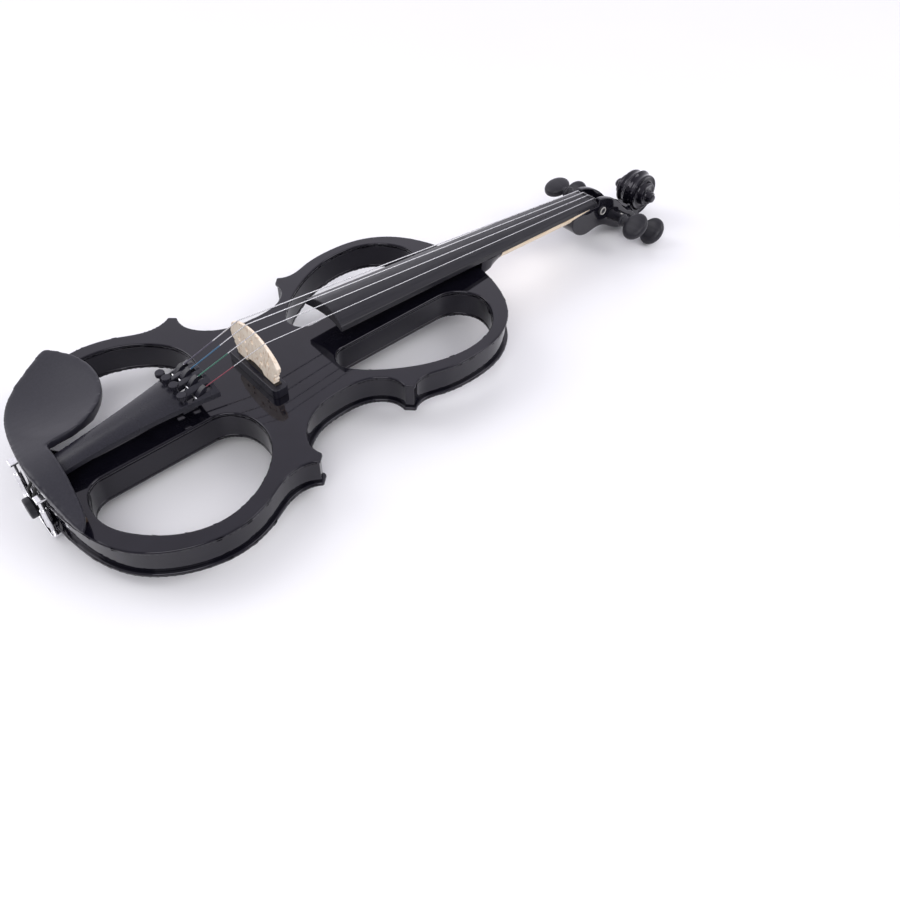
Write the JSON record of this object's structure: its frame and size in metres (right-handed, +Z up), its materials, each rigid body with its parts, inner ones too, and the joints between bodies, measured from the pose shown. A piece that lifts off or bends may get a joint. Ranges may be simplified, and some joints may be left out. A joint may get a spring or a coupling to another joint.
{
  "type": "electric violin",
  "caption": "Openwork solid-body electric violin with chin rest, tailpiece with fine tuners, pickup under the bridge, pegbox and scroll.",
  "frame": {"origin": "the middle of the violin's outline on the surface it lies on: midway along X and Y, at the lowest point", "axes": "+Y along the instrument from the tail to the scroll, +X to the treble side, +Z up, out of the top plate; the violin lies on its chin-rest clamp and the back of its scroll, so the body is tilted by 1.50 degrees about X"},
  "size_m": [0.2118, 0.5832, 0.0712],
  "materials": {
    "black_lacquer": "high-gloss black lacquer over wood",
    "maple_neck": "bare maple with a thin satin finish",
    "bridge_maple": "unvarnished flecked maple",
    "black_fingerboard": "satin blackened hardwood",
    "black_peg": "satin black wood",
    "chin_rest_black": "satin black",
    "black_composite": "moulded satin black composite",
    "string_steel": "fine wound steel",
    "chrome_clamp": "bright chrome",
    "cork": "fine cork",
    "pearl": "pearl inlay",
    "black_cord": "black nylon",
    "piezo": "bare piezo strip",
    "circuit_board": "green circuit board",
    "battery_can": "painted steel can",
    "screw_steel": "plated screw",
    "pot_metal": "plain metal can",
    "control_black": "textured black plastic"
  },
  "bodies": {
    "violin": {"top_plate": "black_lacquer", "body_core": "black_lacquer", "back_plate": "black_lacquer", "neck": "maple_neck", "head": "black_lacquer", "fingerboard": "black_fingerboard", "nut": "black_fingerboard", "saddle": "black_fingerboard", "end_button": "black_peg", "tailgut": "black_cord", "tailpiece": "black_composite", "tuner_pins": "screw_steel", "pickup_base": "black_composite", "piezo_strip": "piezo", "bridge": "bridge_maple", "chin_rest": "chin_rest_black", "chin_rest_corks": "cork", "clamp_hooks": "chrome_clamp", "output_jack": "chrome_clamp", "headphone_jack": "chrome_clamp", "control_plate": "control_black", "control_posts": "control_black", "control_screws": "screw_steel", "preamp_board": "circuit_board", "battery": "battery_can", "string_g": "string_steel", "string_d": "string_steel", "string_a": "string_steel", "string_e": "string_steel", "volume_pot": "pot_metal", "tone_pot": "pot_metal"},
    "peg_g": {"peg_g": "black_peg", "winding_g": "string_steel", "peg_eye_g": "pearl"},
    "peg_d": {"peg_d": "black_peg", "winding_d": "string_steel", "peg_eye_d": "pearl"},
    "peg_a": {"peg_a": "black_peg", "winding_a": "string_steel", "peg_eye_a": "pearl"},
    "peg_e": {"peg_e": "black_peg", "winding_e": "string_steel", "peg_eye_e": "pearl"},
    "tuner_screw_g": {"tuner_screw_g": "black_composite"},
    "tuner_lever_g": {"tuner_lever_g": "black_composite"},
    "tuner_screw_d": {"tuner_screw_d": "black_composite"},
    "tuner_lever_d": {"tuner_lever_d": "black_composite"},
    "tuner_screw_a": {"tuner_screw_a": "black_composite"},
    "tuner_lever_a": {"tuner_lever_a": "black_composite"},
    "tuner_screw_e": {"tuner_screw_e": "black_composite"},
    "tuner_lever_e": {"tuner_lever_e": "black_composite"},
    "volume_knob": {"volume_knob": "control_black"},
    "tone_knob": {"tone_knob": "control_black"},
    "battery_door": {"battery_door": "control_black"},
    "clamp_barrel_left": {"clamp_barrel_left": "chrome_clamp"},
    "clamp_barrel_right": {"clamp_barrel_right": "chrome_clamp"},
    "clamp_foot": {"clamp_foot": "chrome_clamp", "foot_corks": "cork"}
  },
  "joints": [
    {"name": "peg_g_turn", "type": "hinge", "parent": "violin", "child": "peg_g", "pos_m": [0, 0.2121, 0.03388], "axis": [1, 0, 0], "continuous": true},
    {"name": "peg_d_turn", "type": "hinge", "parent": "violin", "child": "peg_d", "pos_m": [0, 0.23852, 0.01817], "axis": [1, 0, 0], "continuous": true},
    {"name": "peg_a_turn", "type": "hinge", "parent": "violin", "child": "peg_a", "pos_m": [0, 0.25172, 0.01061], "axis": [1, 0, 0], "continuous": true},
    {"name": "peg_e_turn", "type": "hinge", "parent": "violin", "child": "peg_e", "pos_m": [0, 0.22532, 0.02543], "axis": [1, 0, 0], "continuous": true},
    {"name": "tuner_g_screw", "type": "hinge", "parent": "violin", "child": "tuner_screw_g", "pos_m": [-0.0138, -0.18436, 0.05365], "axis": [0, 0.0262, -0.9997], "range_deg": [0, 1080]},
    {"name": "tuner_g_lever", "type": "hinge", "parent": "violin", "child": "tuner_lever_g", "pos_m": [-0.0138, -0.17578, 0.05087], "axis": [1, 0, 0], "range_deg": [0, 5]},
    {"name": "tuner_d_screw", "type": "hinge", "parent": "violin", "child": "tuner_screw_d", "pos_m": [-0.0046, -0.18441, 0.05584], "axis": [0, 0.0262, -0.9997], "range_deg": [0, 1080]},
    {"name": "tuner_d_lever", "type": "hinge", "parent": "violin", "child": "tuner_lever_d", "pos_m": [-0.0046, -0.17584, 0.05306], "axis": [1, 0, 0], "range_deg": [0, 5]},
    {"name": "tuner_a_screw", "type": "hinge", "parent": "violin", "child": "tuner_screw_a", "pos_m": [0.0046, -0.18441, 0.05584], "axis": [0, 0.0262, -0.9997], "range_deg": [0, 1080]},
    {"name": "tuner_a_lever", "type": "hinge", "parent": "violin", "child": "tuner_lever_a", "pos_m": [0.0046, -0.17584, 0.05306], "axis": [1, 0, 0], "range_deg": [0, 5]},
    {"name": "tuner_e_screw", "type": "hinge", "parent": "violin", "child": "tuner_screw_e", "pos_m": [0.0138, -0.18436, 0.05365], "axis": [0, 0.0262, -0.9997], "range_deg": [0, 1080]},
    {"name": "tuner_e_lever", "type": "hinge", "parent": "violin", "child": "tuner_lever_e", "pos_m": [0.0138, -0.17578, 0.05087], "axis": [1, 0, 0], "range_deg": [0, 5]},
    {"name": "volume_turn", "type": "hinge", "parent": "violin", "child": "volume_knob", "pos_m": [-0.013, -0.12973, 0.01152], "axis": [0, 0.0262, -0.9997], "range_deg": [-150, 150]},
    {"name": "tone_turn", "type": "hinge", "parent": "violin", "child": "tone_knob", "pos_m": [-0.013, -0.09774, 0.01236], "axis": [0, 0.0262, -0.9997], "range_deg": [-150, 150]},
    {"name": "battery_door_hinge", "type": "hinge", "parent": "violin", "child": "battery_door", "pos_m": [0.01525, -0.14346, 0.01226], "axis": [-1, 0, 0], "range_deg": [0, 95]},
    {"name": "clamp_barrel_left_turn", "type": "hinge", "parent": "violin", "child": "clamp_barrel_left", "pos_m": [-0.025, -0.28457, 0.01846], "axis": [0, -0.0262, 0.9997], "range_deg": [0, 771.43]},
    {"name": "clamp_barrel_right_turn", "type": "hinge", "parent": "violin", "child": "clamp_barrel_right", "pos_m": [0.014, -0.28457, 0.01846], "axis": [0, -0.0262, 0.9997], "range_deg": [0, 771.43]},
    {"name": "clamp_foot_slide", "type": "slide", "parent": "violin", "child": "clamp_foot", "axis": [0, 0.0262, -0.9997], "range_m": [0, 0.003]}
  ],
  "couplings": [
    {"joint": "tuner_g_lever", "follows": "tuner_g_screw", "ratio": 0.0046296},
    {"joint": "tuner_d_lever", "follows": "tuner_d_screw", "ratio": 0.0046296},
    {"joint": "tuner_a_lever", "follows": "tuner_a_screw", "ratio": 0.0046296},
    {"joint": "tuner_e_lever", "follows": "tuner_e_screw", "ratio": 0.0046296},
    {"joint": "clamp_barrel_left_turn", "follows": "clamp_foot_slide", "rad_per_m": 4488},
    {"joint": "clamp_barrel_right_turn", "follows": "clamp_foot_slide", "rad_per_m": 4488}
  ]
}
